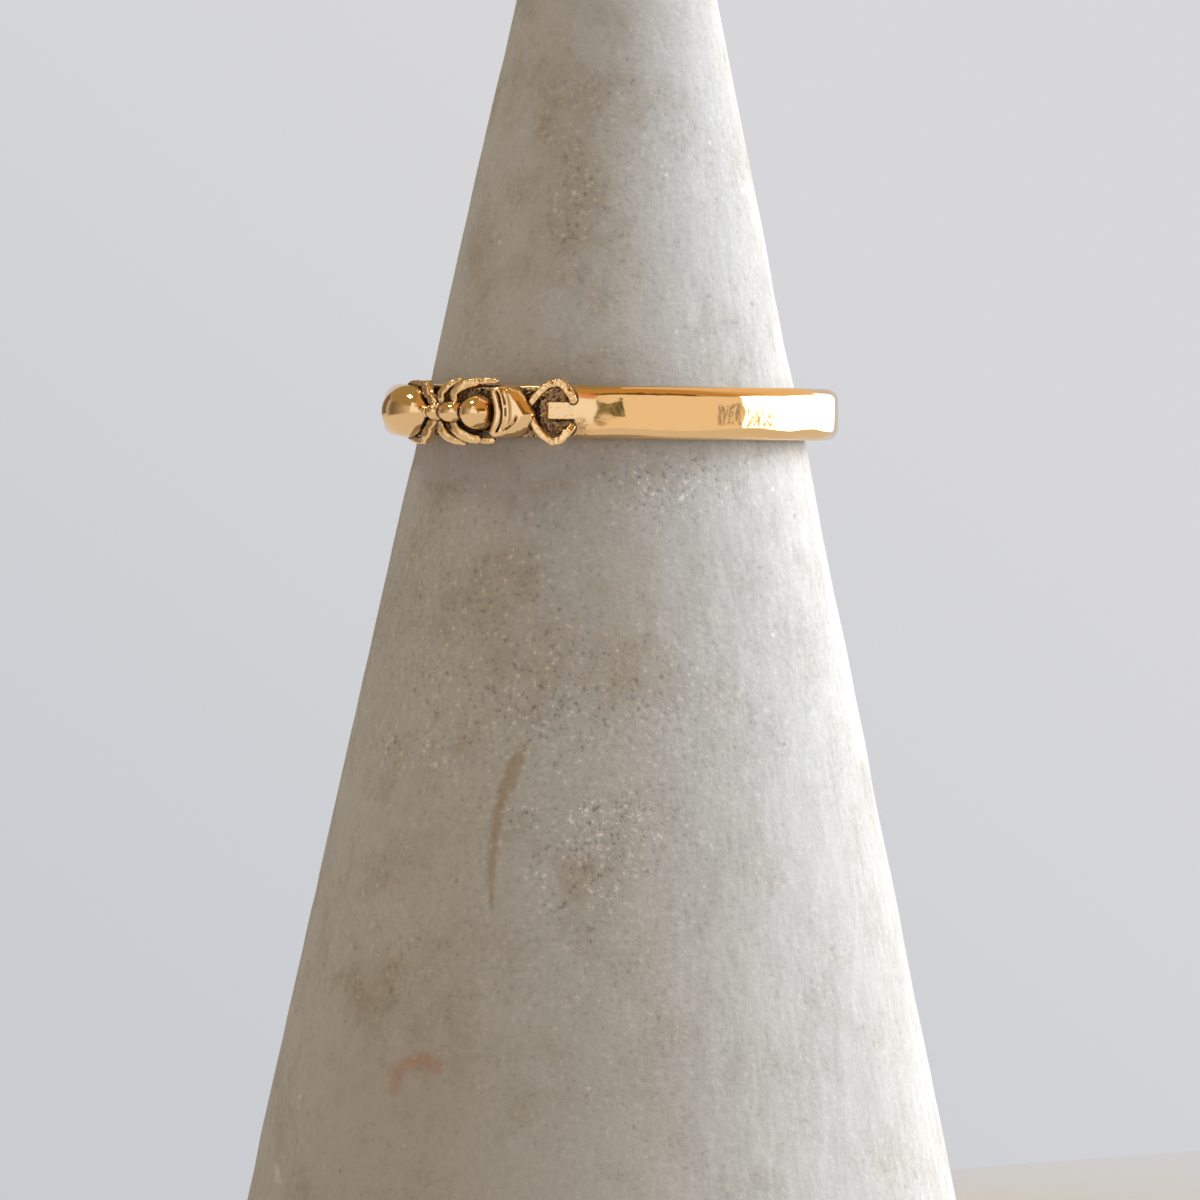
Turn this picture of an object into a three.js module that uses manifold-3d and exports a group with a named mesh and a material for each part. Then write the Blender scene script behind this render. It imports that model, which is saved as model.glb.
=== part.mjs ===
// A stackable finger ring with an ant cast in relief on its band, standing on a
// plain tapered ring cone.  Millimetres, +Z up.  The origin is the centre of the
// cone's flat base.  The front of the object looks along -Y.
import * as THREE from "three";
import { mergeVertices } from "three/addons/utils/BufferGeometryUtils.js";
import Module from "manifold-3d";

const wasm = await Module();
wasm.setup();

// ---------------------------------------------------------------- dimensions
// Ring cone
const CONE_BASE_R = 19.0; // radius of the foot
const CONE_SLOPE = 0.2128; // radius lost for each mm of height, a 12 degree half-angle
const CONE_TIP_R = 1.3; // rounding of the tip
const CONE_FOOT_CHAMFER = 0.4; // broken edge round the foot

// Ring band
const BORE_R = 8.55; // 17.1 mm inside, between a US 6 1/2 and a US 7
const BAND_T = 1.4; // wall, inside to outside
const BAND_H = 2.25; // width of the band, along the finger
const BAND_OUTER_ROUND = 0.36; // rounding of the two outer edges
const BAND_BORE_ROUND = 0.16; // rounding of the two inner edges
const BAND_CROWN = 0.06; // how far the outer face swells at mid width
const SEAT_GAP = 0.1; // gap between the bore's lower edge and the cone
const ANT_W = -0.07; // the ant sits a little below the middle of the band

// Facets
const ROUND_STEPS = 96;

const OUT_R = BORE_R + BAND_T;
const HALF_H = BAND_H / 2;
const CONE_APEX_Z = CONE_BASE_R / CONE_SLOPE; // where the straight sides would meet
// The bore's lower rounding meets the cone: the band's lower edge is at this height.
const SEAT_Z = CONE_APEX_Z - (BORE_R - SEAT_GAP) / CONE_SLOPE - BAND_BORE_ROUND;
const MID_Z = SEAT_Z + HALF_H;

// ------------------------------------------------------------------- helpers
// The ant is laid out on the unrolled band: s runs along the circumference
// (measured on the outer face, 0 at the front, + to the right), w across the
// ant's own line (+ up) and h outwards from the outer face.
function onBand(s, w, h) {
  const a = s / OUT_R;
  const r = OUT_R + h;
  return new THREE.Vector3(r * Math.sin(a), -r * Math.cos(a), MID_Z + ANT_W + w);
}

// Closed three.js geometry to manifold solid.
function toSolid(geometry) {
  const g = geometry.index ? geometry.toNonIndexed() : geometry.clone();
  g.deleteAttribute("normal");
  g.deleteAttribute("uv");
  const m = mergeVertices(g, 1e-4);
  return new wasm.Manifold(
    new wasm.Mesh({
      numProp: 3,
      vertProperties: new Float32Array(m.attributes.position.array),
      triVerts: new Uint32Array(m.index.array),
    }),
  );
}

// Manifold solid to three.js geometry.
function toGeometry(solid) {
  const m = solid.getMesh();
  const n = m.numProp;
  const v = new Float32Array(m.numVert * 3);
  for (let i = 0; i < m.numVert; i++)
    v.set(m.vertProperties.subarray(i * n, i * n + 3), i * 3);
  const g = new THREE.BufferGeometry();
  g.setAttribute("position", new THREE.BufferAttribute(v, 3));
  g.setIndex(new THREE.BufferAttribute(new Uint32Array(m.triVerts), 1));
  g.computeVertexNormals();
  return g;
}

// Turns a profile of [radius, height] points about +Z.
function turned(profile) {
  const g = new THREE.LatheGeometry(
    profile.map(([r, z]) => new THREE.Vector2(r, z)),
    ROUND_STEPS,
  );
  g.rotateX(Math.PI / 2);
  return g;
}

// Quarter arc of points about (cr, cz), from angle a0 to a1 in degrees.
function arc(cr, cz, radius, a0, a1, steps) {
  const out = [];
  for (let i = 0; i <= steps; i++) {
    const a = THREE.MathUtils.degToRad(a0 + ((a1 - a0) * i) / steps);
    out.push([cr + radius * Math.cos(a), cz + radius * Math.sin(a)]);
  }
  return out;
}

// Ellipsoid on the band: centre (s, w, h), half sizes along the same three ways.
function lump({ s, w, h, hs, hw, hh, around = 20, down = 12 }) {
  const g = new THREE.SphereGeometry(1, around, down);
  const a = s / OUT_R;
  const along = new THREE.Vector3(Math.cos(a), Math.sin(a), 0);
  const up = new THREE.Vector3(0, 0, 1);
  const out = new THREE.Vector3(Math.sin(a), -Math.cos(a), 0);
  // Outwards, along and up make a right-handed set, so the faces stay pointing out.
  const m = new THREE.Matrix4().makeBasis(
    out.clone().multiplyScalar(hh),
    along.clone().multiplyScalar(hs),
    up.clone().multiplyScalar(hw),
  );
  m.setPosition(onBand(s, w, h));
  g.applyMatrix4(m);
  return toSolid(g);
}

// Round limb through rows of { s, w, h }, of constant radius, with closed ends.
function limb(rows, radius, steps = 10, sides = 8) {
  const path = new THREE.CatmullRomCurve3(
    rows.map(({ s, w, h }) => onBand(s, w, h)),
    false,
    "centripetal",
  );
  const section = new THREE.Shape();
  for (let i = 0; i < sides; i++) {
    const a = (2 * Math.PI * i) / sides;
    const x = radius * Math.cos(a);
    const y = radius * Math.sin(a);
    if (i === 0) section.moveTo(x, y);
    else section.lineTo(x, y);
  }
  section.closePath();
  return toSolid(
    new THREE.ExtrudeGeometry(section, {
      steps,
      extrudePath: path,
      curveSegments: 1,
      bevelEnabled: false,
    }),
  );
}

// ------------------------------------------------------------------ the ring
// Closed section of the band, anticlockwise from the bore's lower edge.
function bandSection() {
  const lo = MID_Z - HALF_H;
  const hi = MID_Z + HALF_H;
  const q = BAND_OUTER_ROUND;
  const b = BAND_BORE_ROUND;
  const face = OUT_R - BAND_CROWN;
  const points = [
    ...arc(BORE_R + b, lo + b, b, 180, 270, 2),
    ...arc(face - q, lo + q, q, 270, 350, 3),
    [OUT_R - BAND_CROWN * 0.3, MID_Z - HALF_H * 0.4],
    [OUT_R, MID_Z],
    [OUT_R - BAND_CROWN * 0.3, MID_Z + HALF_H * 0.4],
    ...arc(face - q, hi - q, q, 10, 90, 3),
    ...arc(BORE_R + b, hi - b, b, 90, 180, 2),
  ];
  points.push([...points[0]]);
  return points;
}

// Body of the ant, from the tail forwards: one row for each swelling.
const BODY = [
  { name: "gaster", s: -10.48, w: 0.03, h: 0.08, hs: 1.7, hw: 1.02, hh: 0.95, around: 24, down: 16 },
  { name: "neck", s: -8.72, w: 0.0, h: 0.1, hs: 0.35, hw: 0.33, hh: 0.42, around: 12, down: 8 },
  { name: "petiole", s: -8.22, w: 0.0, h: 0.13, hs: 0.42, hw: 0.4, hh: 0.47, around: 14, down: 10 },
  { name: "waist", s: -7.52, w: 0.0, h: 0.12, hs: 0.48, hw: 0.4, hh: 0.5, around: 14, down: 10 },
  { name: "back", s: -7.14, w: 0.0, h: 0.14, hs: 0.34, hw: 0.5, hh: 0.6, around: 14, down: 10 },
  { name: "thorax", s: -5.8, w: 0.0, h: 0.16, hs: 0.76, hw: 0.745, hh: 0.76, around: 18, down: 14 },
];

// Head: a shield, widest at the back, hollowed behind by the thorax.
const HEAD = { s: -4.45, w: 0.03, h: 0.0, hs: 1.1, hw: 1.13, hh: 0.8, around: 24, down: 16 };
const HEAD_HOLLOW = { s: -6.1, w: 0.03, h: 0.5, hs: 1.15, hw: 1.6, hh: 2.2, around: 24, down: 16 };

// Limbs, in pairs that are not quite mirror images.  One row for each bend.
const LIMBS = [
  {
    name: "antenna",
    radius: 0.145,
    upper: [
      { s: -3.55, w: 0.36, h: 0.06 },
      { s: -2.95, w: 0.88, h: 0.1 },
      { s: -2.36, w: 1.26, h: 0.0 },
      { s: -2.02, w: 1.02, h: 0.04 },
      { s: -1.62, w: 0.58, h: -0.02 },
    ],
    lower: [
      { s: -3.4, w: -0.42, h: 0.06 },
      { s: -2.98, w: -0.86, h: 0.1 },
      { s: -2.45, w: -1.25, h: 0.0 },
      { s: -2.05, w: -1.08, h: 0.04 },
      { s: -1.7, w: -0.68, h: -0.02 },
    ],
  },
  {
    name: "front_leg",
    radius: 0.16,
    upper: [
      { s: -7.08, w: 0.3, h: 0.22 },
      { s: -7.06, w: 0.9, h: 0.2 },
      { s: -6.69, w: 1.18, h: 0.1 },
      { s: -6.11, w: 1.31, h: 0.0 },
      { s: -5.24, w: 1.3, h: -0.04 },
    ],
    lower: [
      { s: -7.1, w: -0.3, h: 0.22 },
      { s: -6.92, w: -0.88, h: 0.2 },
      { s: -6.42, w: -1.13, h: 0.1 },
      { s: -6.04, w: -1.2, h: 0.0 },
      { s: -5.34, w: -1.18, h: -0.04 },
    ],
  },
  {
    name: "middle_leg",
    radius: 0.15,
    upper: [
      { s: -7.86, w: 0.24, h: 0.18 },
      { s: -7.8, w: 0.84, h: 0.2 },
      { s: -7.46, w: 1.2, h: 0.08 },
      { s: -7.02, w: 1.3, h: -0.02 },
    ],
    lower: [
      { s: -7.86, w: -0.24, h: 0.18 },
      { s: -7.78, w: -0.82, h: 0.2 },
      { s: -7.32, w: -1.16, h: 0.08 },
      { s: -6.88, w: -1.28, h: -0.02 },
    ],
  },
  {
    name: "hind_leg",
    radius: 0.16,
    upper: [
      { s: -8.3, w: 0.2, h: 0.16 },
      { s: -8.6, w: 0.64, h: 0.16 },
      { s: -8.96, w: 1.08, h: 0.06 },
      { s: -9.7, w: 1.22, h: -0.04 },
      { s: -10.9, w: 1.14, h: -0.08 },
    ],
    lower: [
      { s: -8.3, w: -0.2, h: 0.16 },
      { s: -8.6, w: -0.68, h: 0.16 },
      { s: -8.98, w: -1.1, h: 0.06 },
      { s: -9.7, w: -1.22, h: -0.04 },
      { s: -10.9, w: -1.1, h: -0.08 },
    ],
  },
];

function ringSolid() {
  let ring = toSolid(turned(bandSection()));
  for (const row of BODY) ring = ring.add(lump(row));
  ring = ring.add(lump(HEAD).subtract(lump(HEAD_HOLLOW)));
  for (const { upper, lower, radius } of LIMBS)
    for (const rows of [upper, lower]) ring = ring.add(limb(rows, radius));
  return ring;
}

// ------------------------------------------------------------------ the cone
function coneSection() {
  const slope = Math.atan(CONE_SLOPE); // half-angle
  const tipCentre = CONE_APEX_Z - CONE_TIP_R / Math.sin(slope);
  const tip = arc(0, tipCentre, CONE_TIP_R, THREE.MathUtils.radToDeg(slope), 90, 6);
  tip[tip.length - 1][0] = 0;
  const footTop = CONE_FOOT_CHAMFER;
  return [
    [0, 0],
    [CONE_BASE_R - footTop * CONE_SLOPE - CONE_FOOT_CHAMFER, 0],
    [(CONE_APEX_Z - footTop) * CONE_SLOPE, footTop],
    ...tip,
  ];
}

// ---------------------------------------------------------------- the object
const gold = new THREE.MeshStandardMaterial({
  name: "yellow_bronze",
  color: new THREE.Color(0.86, 0.6, 0.33),
  metalness: 1.0,
  roughness: 0.14,
});
const cement = new THREE.MeshStandardMaterial({
  name: "cast_cement",
  color: new THREE.Color(0.62, 0.59, 0.55),
  metalness: 0.0,
  roughness: 0.72,
});

function named(name, geometry, material) {
  const mesh = new THREE.Mesh(geometry, material);
  mesh.name = name;
  return mesh;
}

const object = new THREE.Group();
object.name = "stackable_ring_on_cone";
object.add(named("ring", toGeometry(ringSolid()), gold));
object.add(named("ring_cone", turned(coneSection()), cement));

export default object;
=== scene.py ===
import math

import bpy
import numpy as np
from mathutils import Matrix, Vector


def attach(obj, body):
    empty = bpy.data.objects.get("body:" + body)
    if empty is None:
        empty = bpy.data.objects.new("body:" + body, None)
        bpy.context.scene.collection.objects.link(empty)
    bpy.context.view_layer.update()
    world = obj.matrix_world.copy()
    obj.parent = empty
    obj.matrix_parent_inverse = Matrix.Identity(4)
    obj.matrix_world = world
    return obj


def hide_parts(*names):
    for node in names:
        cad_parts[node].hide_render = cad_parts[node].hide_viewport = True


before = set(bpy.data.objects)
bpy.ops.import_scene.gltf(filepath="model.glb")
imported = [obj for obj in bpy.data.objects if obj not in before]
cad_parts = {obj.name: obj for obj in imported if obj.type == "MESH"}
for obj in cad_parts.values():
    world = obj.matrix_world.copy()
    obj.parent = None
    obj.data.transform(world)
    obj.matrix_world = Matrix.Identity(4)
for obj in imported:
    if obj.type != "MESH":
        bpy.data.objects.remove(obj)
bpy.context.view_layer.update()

# ------------------------------------------------------------------ dimensions
# The same figures as the CAD model, in millimetres.
CONE_BASE_R = 19.0
CONE_SLOPE = 0.2128
CONE_TIP_R = 1.3
CONE_FOOT_CHAMFER = 0.4
BORE_R = 8.55
BAND_T = 1.4
BAND_H = 2.25
SEAT_GAP = 0.1
BAND_BORE_ROUND = 0.16
ANT_W = -0.07

OUT_R = BORE_R + BAND_T
HALF_H = BAND_H / 2
CONE_APEX_Z = CONE_BASE_R / CONE_SLOPE
SEAT_Z = CONE_APEX_Z - (BORE_R - SEAT_GAP) / CONE_SLOPE - BAND_BORE_ROUND
MID_Z = SEAT_Z + HALF_H
LOOP = 2 * math.pi * OUT_R  # length of the unrolled band

MM = 0.001


# --------------------------------------------------------------- smooth noise
class Waves:
    """A smooth random field: a sum of plane waves of about one wavelength."""

    def __init__(self, seed, wavelength, count=28, loop=None, spread=0.35):
        rng = np.random.default_rng(seed)
        d = rng.normal(size=(count, 3))
        d /= np.linalg.norm(d, axis=1)[:, None]
        k = 2 * math.pi / (wavelength * np.exp(rng.uniform(-spread, spread, count)))
        self.k = d * k[:, None]
        if loop:  # whole waves round the loop, so the two ends meet
            unit = 2 * math.pi / loop
            self.k[:, 0] = np.round(self.k[:, 0] / unit) * unit
        self.phase = rng.uniform(0, 2 * math.pi, count)
        self.scale = math.sqrt(2.0 / count)

    def __call__(self, p):
        out = np.zeros(len(p))
        for k, ph in zip(self.k, self.phase):
            out += np.sin(p @ k + ph)
        return out * self.scale


HAMMER = Waves(3, 3.4, 24, LOOP)
RIPPLE = Waves(5, 0.95, 28, LOOP)
CAST = Waves(7, 0.21, 40, LOOP)
CAST_FINE = Waves(8, 0.115, 36, LOOP)
LIMB_WAVE = Waves(9, 0.3, 24, LOOP)
EDGE_WAVE = Waves(31, 2.6, 18, LOOP)


# ------------------------------------------------------------ distance helpers
def smin(a, b, k):
    h = np.clip(0.5 + 0.5 * (b - a) / k, 0, 1)
    return b + (a - b) * h - k * h * (1 - h)


def smax(a, b, k):
    return -smin(-a, -b, k)


def smoothstep(a, b, x):
    t = np.clip((x - a) / (b - a), 0, 1)
    return t * t * (3 - 2 * t)


def ellipsoid(p, c, r):
    q = p - np.asarray(c)
    r = np.asarray(r)
    k0 = np.linalg.norm(q / r, axis=1)
    k1 = np.linalg.norm(q / (r * r), axis=1)
    return np.where(k1 > 1e-9, k0 * (k0 - 1.0) / np.maximum(k1, 1e-9), -r.min())


def catmull(points, per=6):
    """Points of a centripetal-like smooth line through the rows given."""
    pts = np.asarray(points, float)
    ext = np.vstack([2 * pts[0] - pts[1], pts, 2 * pts[-1] - pts[-2]])
    out = []
    for i in range(1, len(ext) - 2):
        a, b, c, d = ext[i - 1], ext[i], ext[i + 1], ext[i + 2]
        for t in np.linspace(0, 1, per, endpoint=False):
            out.append(
                0.5
                * (
                    2 * b
                    + (c - a) * t
                    + (2 * a - 5 * b + 4 * c - d) * t * t
                    + (3 * b - 3 * c + d - a) * t**3
                )
            )
    out.append(ext[-2])
    return np.array(out)


def strap(p, path, deep=0.85, soft=0.42):
    """Distance to a flat-topped limb; path rows are s, w, h, half width.

    Its section is a rounded box, and it tapers and climbs along its line.
    """
    best = np.full(len(p), 1e9)
    for i in range(len(path) - 1):
        a, b = path[i], path[i + 1]
        ab = b[:2] - a[:2]
        t = np.clip(((p[:, :2] - a[:2]) @ ab) / max(ab @ ab, 1e-12), 0, 1)
        side = np.linalg.norm(p[:, :2] - a[:2] - t[:, None] * ab, axis=1)
        r = a[3] + (b[3] - a[3]) * t
        up = np.abs(p[:, 2] - a[2] - (b[2] - a[2]) * t)
        c = soft * r
        qx = side - r + c
        qy = up - deep * r + c
        d = np.minimum(np.maximum(qx, qy), 0) + np.sqrt(
            np.maximum(qx, 0) ** 2 + np.maximum(qy, 0) ** 2
        ) - c
        best = np.minimum(best, d)
    return best


def polygon2(p2, poly):
    """Signed distance in the plane to a closed outline, negative inside."""
    v = np.asarray(poly)
    d = np.full(len(p2), 1e9)
    sign = np.ones(len(p2))
    j = len(v) - 1
    for i in range(len(v)):
        e = v[j] - v[i]
        w = p2 - v[i]
        t = np.clip((w @ e) / (e @ e), 0, 1)
        b = w - t[:, None] * e
        d = np.minimum(d, (b * b).sum(1))
        c1 = p2[:, 1] >= v[i][1]
        c2 = p2[:, 1] < v[j][1]
        c3 = e[0] * w[:, 1] > e[1] * w[:, 0]
        flip = (c1 & c2 & c3) | (~c1 & ~c2 & ~c3)
        sign = np.where(flip, -sign, sign)
        j = i
    return sign * np.sqrt(d)


def line2(p2, pts):
    d = np.full(len(p2), 1e9)
    for a, b in zip(pts[:-1], pts[1:]):
        ab = b - a
        t = np.clip(((p2 - a) @ ab) / max(ab @ ab, 1e-12), 0, 1)
        d = np.minimum(d, np.linalg.norm(p2 - a - t[:, None] * ab, axis=1))
    return d


# ------------------------------------------------------------- the ant's parts
# s runs along the band (0 at the front, + to the right), w across it (+ up,
# from the ant's own line) and h outwards from the band's face.
BALLS = [
    # name, centre (s, w, h), half sizes (s, w, h), blend into what is before it
    ("gaster", (-10.46, 0.02, 0.10), (1.70, 1.13, 1.00), 0.0),
    ("gaster_tail", (-11.35, 0.03, 0.02), (0.98, 0.60, 0.60), 0.25),
    ("neck", (-8.86, 0.02, 0.10), (0.34, 0.31, 0.40), 0.02),
    ("petiole", (-8.30, 0.01, 0.13), (0.43, 0.395, 0.47), 0.015),
    ("petiole_knob", (-8.02, 0.25, 0.22), (0.17, 0.16, 0.20), 0.03),
    ("petiole_foot", (-8.00, -0.25, 0.20), (0.17, 0.15, 0.19), 0.03),
]
THORAX = ((-5.92, -0.01, 0.15), (0.775, 0.745, 0.77))
BACK = ((-7.26, 0.0, 0.10), (0.72, 0.50, 0.62))

HEAD_OUTLINE = [
    (-4.94, 1.065), (-4.68, 1.115), (-4.33, 1.125), (-3.96, 0.98), (-3.69, 0.69),
    (-3.49, 0.38), (-3.31, 0.10), (-3.24, -0.09), (-3.29, -0.28), (-3.41, -0.47),
    (-3.55, -0.68), (-3.77, -0.85), (-4.07, -1.00), (-4.45, -1.055), (-4.94, -1.065),
    (-5.12, -0.87), (-5.03, -0.62), (-4.94, -0.36), (-4.88, -0.03), (-4.93, 0.34),
    (-5.02, 0.64), (-5.08, 0.91),
]
HEAD_GROOVE = [
    (-4.79, 0.90), (-4.66, 0.60), (-4.56, 0.13), (-4.57, -0.30), (-4.67, -0.62), (-4.77, -0.82),
]

HEAD_VALLEY = [
    (-4.54, 0.90), (-4.40, 0.65), (-4.32, 0.35), (-4.29, 0.01), (-4.31, -0.33), (-4.43, -0.60),
]
HEAD_HOOK = [(-3.93, -0.20), (-4.02, -0.39), (-4.20, -0.56), (-4.43, -0.71)]

# Limbs: rows of s, w, h, radius.
LIMBS = {
    "antenna_scape_upper": [
        (-3.46, 0.40, 0.02, 0.105), (-3.36, 0.53, 0.06, 0.120), (-3.05, 0.88, 0.10, 0.125),
        (-2.70, 1.17, 0.06, 0.125), (-2.34, 1.29, 0.00, 0.130),
    ],
    "antenna_lash_upper": [
        (-2.36, 1.285, 0.00, 0.130), (-2.09, 1.24, 0.02, 0.145), (-1.87, 1.00, 0.05, 0.150),
        (-1.70, 0.77, 0.04, 0.140), (-1.63, 0.55, -0.01, 0.120),
    ],
    "antenna_scape_lower": [
        (-3.40, -0.24, 0.02, 0.105), (-3.33, -0.40, 0.06, 0.120), (-3.12, -0.70, 0.10, 0.130),
        (-2.84, -0.99, 0.07, 0.130), (-2.50, -1.20, 0.00, 0.130),
    ],
    "antenna_lash_lower": [
        (-2.48, -1.21, 0.00, 0.130), (-2.14, -1.13, 0.04, 0.145), (-1.92, -0.87, 0.05, 0.150),
        (-1.75, -0.71, 0.03, 0.140), (-1.67, -0.57, -0.01, 0.120),
    ],
    "middle_leg_upper": [
        (-7.82, 0.47, 0.20, 0.130), (-7.85, 0.76, 0.21, 0.150), (-7.60, 1.08, 0.12, 0.150),
        (-7.27, 1.24, 0.02, 0.140), (-6.97, 1.31, -0.06, 0.115),
    ],
    "front_leg_upper": [
        (-7.06, 0.50, 0.24, 0.140), (-7.06, 0.80, 0.24, 0.165), (-6.80, 1.04, 0.18, 0.165),
        (-6.44, 1.20, 0.08, 0.160), (-6.06, 1.285, 0.00, 0.150),
    ],
    "front_foot_upper": [
        (-6.05, 1.30, -0.03, 0.110), (-5.75, 1.325, -0.05, 0.115), (-5.42, 1.325, -0.07, 0.105),
        (-5.14, 1.335, -0.10, 0.085),
    ],
    "middle_leg_lower": [
        (-7.88, -0.50, 0.20, 0.130), (-7.79, -0.79, 0.21, 0.155), (-7.48, -1.07, 0.12, 0.155),
        (-7.11, -1.21, 0.02, 0.145), (-6.76, -1.28, -0.06, 0.115),
    ],
    "front_leg_lower": [
        (-7.05, -0.52, 0.22, 0.150), (-6.95, -0.74, 0.24, 0.180), (-6.70, -0.93, 0.18, 0.185),
        (-6.35, -1.09, 0.08, 0.180), (-5.98, -1.15, 0.00, 0.165),
    ],
    "front_foot_lower": [
        (-6.00, -1.18, -0.03, 0.115), (-5.67, -1.20, -0.05, 0.115), (-5.28, -1.20, -0.08, 0.105),
    ],
    "hind_knee_upper": [
        (-8.28, 0.40, 0.18, 0.150), (-8.46, 0.52, 0.21, 0.175), (-8.60, 0.62, 0.18, 0.150),
    ],
    "hind_leg_upper": [
        (-8.72, 0.76, 0.20, 0.165), (-8.82, 0.96, 0.18, 0.190), (-8.93, 1.16, 0.06, 0.150),
    ],
    "hind_foot_upper": [
        (-8.98, 1.18, 0.00, 0.115), (-9.50, 1.20, -0.02, 0.120), (-10.20, 1.20, -0.04, 0.120),
        (-10.60, 1.16, -0.07, 0.095), (-10.90, 1.08, -0.12, 0.060),
    ],
    "hind_knee_lower": [
        (-8.28, -0.42, 0.18, 0.150), (-8.48, -0.56, 0.21, 0.175), (-8.60, -0.68, 0.18, 0.150),
    ],
    "hind_leg_lower": [
        (-8.65, -0.78, 0.20, 0.180), (-8.78, -0.97, 0.17, 0.205), (-8.98, -1.14, 0.06, 0.160),
    ],
    "hind_foot_lower": [
        (-8.92, -1.16, 0.02, 0.120), (-9.25, -1.24, -0.02, 0.125), (-9.90, -1.21, -0.04, 0.120),
        (-10.45, -1.13, -0.07, 0.095), (-10.80, -1.03, -0.12, 0.060),
    ],
}
LIMB_WIDTH = 1.20
LIMB_PATHS = {}
for _name, _rows in LIMBS.items():
    _path = catmull(_rows, 5)
    _path[:, 3] *= LIMB_WIDTH
    if "lash" in _name:  # the antenna's outer part is beaded
        _t = np.linspace(0, 1, len(_path))
        _path[:, 3] += 0.012 * np.cos(_t * 2 * math.pi * 6)
    LIMB_PATHS[_name] = _path

ANT_S0, ANT_S1 = -12.75, -1.05


def recess_depth(p):
    """How far the band's face lies below its true surface, and the cast roughness."""
    s, w = p[:, 0], p[:, 1] - ANT_W
    # under the legs and the body
    body = smoothstep(-9.25, -8.7, s) * (1 - smoothstep(-3.35, -3.05, s))
    body = body * (1 - smoothstep(0.88, 1.16, np.abs(w)))
    # inside the diamond that the antennae close
    reach = np.interp(s, [-3.35, -2.40, -1.55], [0.45, 1.16, 0.42])
    inside = (1 - smoothstep(-0.10, 0.03, np.abs(w) - reach)) * smoothstep(-3.4, -3.25, s)
    inside = inside * (1 - smoothstep(-1.68, -1.52, s))
    # a flat in the middle of the diamond was left standing
    flat = smoothstep(-2.86, -2.70, s) * (1 - smoothstep(0.34, 0.42, np.abs(w - 0.11)))
    depth = 0.20 * body + 0.13 * inside * (1 - 0.85 * flat)
    rough = np.maximum(body, inside * (1 - 0.93 * flat))
    # a little of the cast skin is left just past the diamond
    stray = np.exp(-(((s + 1.35) / 0.33) ** 2) - ((w + 0.62) / 0.42) ** 2)
    rough = np.maximum(rough, 0.42 * stray)
    return depth, rough


def band_field(p):
    """The plain band, without the ant: a crowned bar with soft shoulders."""
    w, h = p[:, 1], p[:, 2]
    crown = 0.055 * (w / HALF_H) ** 2
    face = h + crown - (0.0075 * HAMMER(p) + 0.0016 * RIPPLE(p))
    # outer half: large rounding; inner half: small rounding
    cy = -BAND_T / 2
    half_t = BAND_T / 2
    # the outer shoulders are filed by hand, so their width wanders
    edge = np.stack([p[:, 0], np.where(w > 0, 3.0, -3.0), np.zeros(len(p))], axis=1)
    turn = np.sin(p[:, 0] / OUT_R) ** 2
    ro = 0.38 + 0.15 * turn + 0.035 * EDGE_WAVE(edge)
    r = np.where(h > cy, ro, BAND_BORE_ROUND)
    qx = np.abs(w) - HALF_H + r
    qy = np.where(h > cy, face - cy, cy - h) - half_t + r
    return np.minimum(np.maximum(qx, qy), 0) + np.sqrt(
        np.maximum(qx, 0) ** 2 + np.maximum(qy, 0) ** 2
    ) - r


def near(p, lo, hi, pad):
    return np.nonzero(
        ((p > np.asarray(lo) - pad) & (p < np.asarray(hi) + pad)).all(axis=1)
    )[0]


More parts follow.
